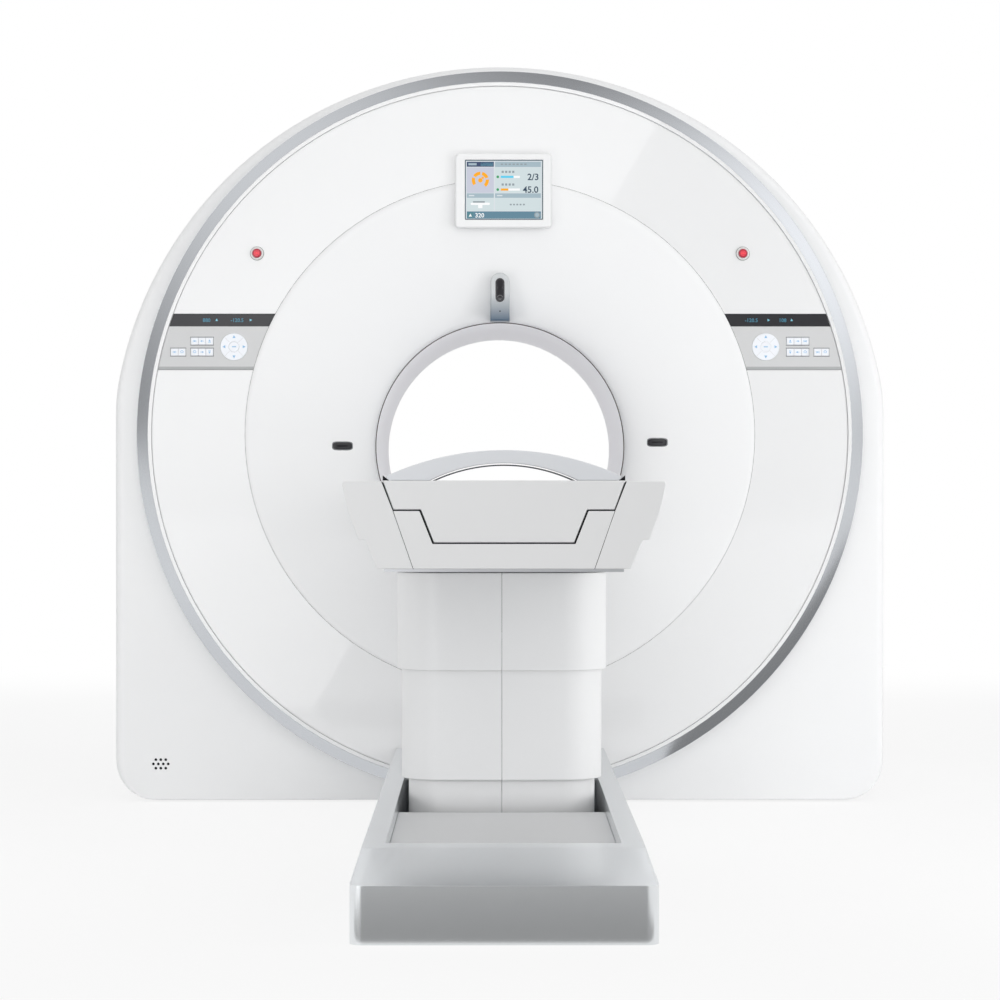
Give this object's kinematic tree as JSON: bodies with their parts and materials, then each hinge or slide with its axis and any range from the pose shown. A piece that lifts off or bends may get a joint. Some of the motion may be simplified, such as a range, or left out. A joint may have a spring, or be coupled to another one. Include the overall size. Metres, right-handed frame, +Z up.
{
  "type": "pet-ct scanner",
  "caption": "Large-bore PET-CT scanner: arched gantry with an eccentric disc front, and a lifting patient couch whose pallet slides through the bore.",
  "frame": {"origin": "on the floor, at the centre of the gantry's anchor pattern, under the bore's axis at mid depth", "axes": "+Y along the bore from the couch into the gantry, +Z up, +X to the right seen from the couch"},
  "size_m": [2.165, 3.98, 2.074],
  "materials": {
    "white_cover": "smooth satin white",
    "white_fascia": "high gloss",
    "white_plastic": "fine satin",
    "silver_paint": "silver metallic lacquer",
    "silver_trim": "satin",
    "grey_panel": "satin",
    "white_keys": "satin",
    "red_button": "gloss",
    "black_glass": "black gloss",
    "screen_glass": "display",
    "pallet_laminate": "pale blue-grey laminate",
    "steel": "machined and painted",
    "alloy": "machined",
    "dark_unit": "dark powder coat"
  },
  "bodies": {
    "root": {"front_cover": "white_cover", "rear_cover": "white_cover", "left_side_cover": "white_cover", "right_side_cover": "white_cover", "trim_ring": "silver_trim", "fascia_panel": "white_fascia", "front_funnel": "white_fascia", "tunnel_liner": "white_plastic", "rear_funnel": "white_plastic", "display_housing": "white_plastic", "display_screen": "screen_glass", "laser_pod": "white_plastic", "laser_windows": "black_glass", "status_bars": "black_glass", "stop_collars": "white_plastic", "left_control_panel": "grey_panel", "right_control_panel": "grey_panel", "gantry_frame": "steel", "bearing_outer_ring": "steel", "motor_stator": "dark_unit", "pet_modules": "dark_unit", "couch_base": "silver_paint", "base_plates": "white_plastic", "lower_shroud": "white_plastic", "lift_base_column": "steel"},
    "ct_rotor": {"rotor_drum": "alloy", "xray_tube": "dark_unit", "ct_detector": "dark_unit", "power_units": "dark_unit", "slip_ring": "alloy"},
    "couch_mid_stage": {"mid_shroud": "white_plastic", "lift_mid_column": "steel"},
    "couch_top": {"upper_shroud": "white_plastic", "lift_top_column": "white_plastic", "couch_frame": "alloy", "couch_end_panel": "white_plastic", "left_couch_cover": "white_plastic", "right_couch_cover": "white_plastic"},
    "couch_pallet": {"carriage": "alloy", "pallet_end_cap": "white_plastic", "pallet": "pallet_laminate", "pull_handle": "pallet_laminate"},
    "left_key_1": {"left_key_1": "white_keys"},
    "left_key_2": {"left_key_2": "white_keys"},
    "left_key_3": {"left_key_3": "white_keys"},
    "left_key_4": {"left_key_4": "white_keys"},
    "left_key_5": {"left_key_5": "white_keys"},
    "left_key_6": {"left_key_6": "white_keys"},
    "left_arrow_ring": {"left_arrow_ring": "white_keys"},
    "left_centre_key": {"left_centre_key": "white_keys"},
    "left_stop_button": {"left_stop_button": "red_button"},
    "right_key_1": {"right_key_1": "white_keys"},
    "right_key_2": {"right_key_2": "white_keys"},
    "right_key_3": {"right_key_3": "white_keys"},
    "right_key_4": {"right_key_4": "white_keys"},
    "right_key_5": {"right_key_5": "white_keys"},
    "right_key_6": {"right_key_6": "white_keys"},
    "right_arrow_ring": {"right_arrow_ring": "white_keys"},
    "right_centre_key": {"right_centre_key": "white_keys"},
    "right_stop_button": {"right_stop_button": "red_button"}
  },
  "joints": [
    {"name": "rotor_spin", "type": "hinge", "parent": "root", "child": "ct_rotor", "pos_m": [0, 0, 1], "axis": [0, 1, 0], "continuous": true},
    {"name": "couch_lift", "type": "slide", "parent": "root", "child": "couch_top", "axis": [0, 0, 1], "range_m": [-0.29, 0.1]},
    {"name": "mid_stage_lift", "type": "slide", "parent": "root", "child": "couch_mid_stage", "axis": [0, 0, 1], "range_m": [-0.145, 0.05]},
    {"name": "pallet_slide", "type": "slide", "parent": "couch_top", "child": "couch_pallet", "axis": [0, 1, 0], "range_m": [0, 1.65]},
    {"name": "left_key_1_press", "type": "slide", "parent": "root", "child": "left_key_1", "axis": [0, 1, 0], "range_m": [0, 0.001], "stiffness_N_per_m": 600, "springref_m": -0.001},
    {"name": "left_key_2_press", "type": "slide", "parent": "root", "child": "left_key_2", "axis": [0, 1, 0], "range_m": [0, 0.001], "stiffness_N_per_m": 600, "springref_m": -0.001},
    {"name": "left_key_3_press", "type": "slide", "parent": "root", "child": "left_key_3", "axis": [0, 1, 0], "range_m": [0, 0.001], "stiffness_N_per_m": 600, "springref_m": -0.001},
    {"name": "left_key_4_press", "type": "slide", "parent": "root", "child": "left_key_4", "axis": [0, 1, 0], "range_m": [0, 0.001], "stiffness_N_per_m": 600, "springref_m": -0.001},
    {"name": "left_key_5_press", "type": "slide", "parent": "root", "child": "left_key_5", "axis": [0, 1, 0], "range_m": [0, 0.001], "stiffness_N_per_m": 600, "springref_m": -0.001},
    {"name": "left_key_6_press", "type": "slide", "parent": "root", "child": "left_key_6", "axis": [0, 1, 0], "range_m": [0, 0.001], "stiffness_N_per_m": 600, "springref_m": -0.001},
    {"name": "left_arrow_ring_press", "type": "slide", "parent": "root", "child": "left_arrow_ring", "axis": [0, 1, 0], "range_m": [0, 0.001], "stiffness_N_per_m": 600, "springref_m": -0.001},
    {"name": "left_centre_key_press", "type": "slide", "parent": "root", "child": "left_centre_key", "axis": [0, 1, 0], "range_m": [0, 0.001], "stiffness_N_per_m": 600, "springref_m": -0.001},
    {"name": "left_stop_button_press", "type": "slide", "parent": "root", "child": "left_stop_button", "axis": [0, 1, 0], "range_m": [0, 0.004]},
    {"name": "right_key_1_press", "type": "slide", "parent": "root", "child": "right_key_1", "axis": [0, 1, 0], "range_m": [0, 0.001], "stiffness_N_per_m": 600, "springref_m": -0.001},
    {"name": "right_key_2_press", "type": "slide", "parent": "root", "child": "right_key_2", "axis": [0, 1, 0], "range_m": [0, 0.001], "stiffness_N_per_m": 600, "springref_m": -0.001},
    {"name": "right_key_3_press", "type": "slide", "parent": "root", "child": "right_key_3", "axis": [0, 1, 0], "range_m": [0, 0.001], "stiffness_N_per_m": 600, "springref_m": -0.001},
    {"name": "right_key_4_press", "type": "slide", "parent": "root", "child": "right_key_4", "axis": [0, 1, 0], "range_m": [0, 0.001], "stiffness_N_per_m": 600, "springref_m": -0.001},
    {"name": "right_key_5_press", "type": "slide", "parent": "root", "child": "right_key_5", "axis": [0, 1, 0], "range_m": [0, 0.001], "stiffness_N_per_m": 600, "springref_m": -0.001},
    {"name": "right_key_6_press", "type": "slide", "parent": "root", "child": "right_key_6", "axis": [0, 1, 0], "range_m": [0, 0.001], "stiffness_N_per_m": 600, "springref_m": -0.001},
    {"name": "right_arrow_ring_press", "type": "slide", "parent": "root", "child": "right_arrow_ring", "axis": [0, 1, 0], "range_m": [0, 0.001], "stiffness_N_per_m": 600, "springref_m": -0.001},
    {"name": "right_centre_key_press", "type": "slide", "parent": "root", "child": "right_centre_key", "axis": [0, 1, 0], "range_m": [0, 0.001], "stiffness_N_per_m": 600, "springref_m": -0.001},
    {"name": "right_stop_button_press", "type": "slide", "parent": "root", "child": "right_stop_button", "axis": [0, 1, 0], "range_m": [0, 0.004]}
  ],
  "couplings": [
    {"joint": "mid_stage_lift", "follows": "couch_lift", "ratio": 0.5}
  ]
}
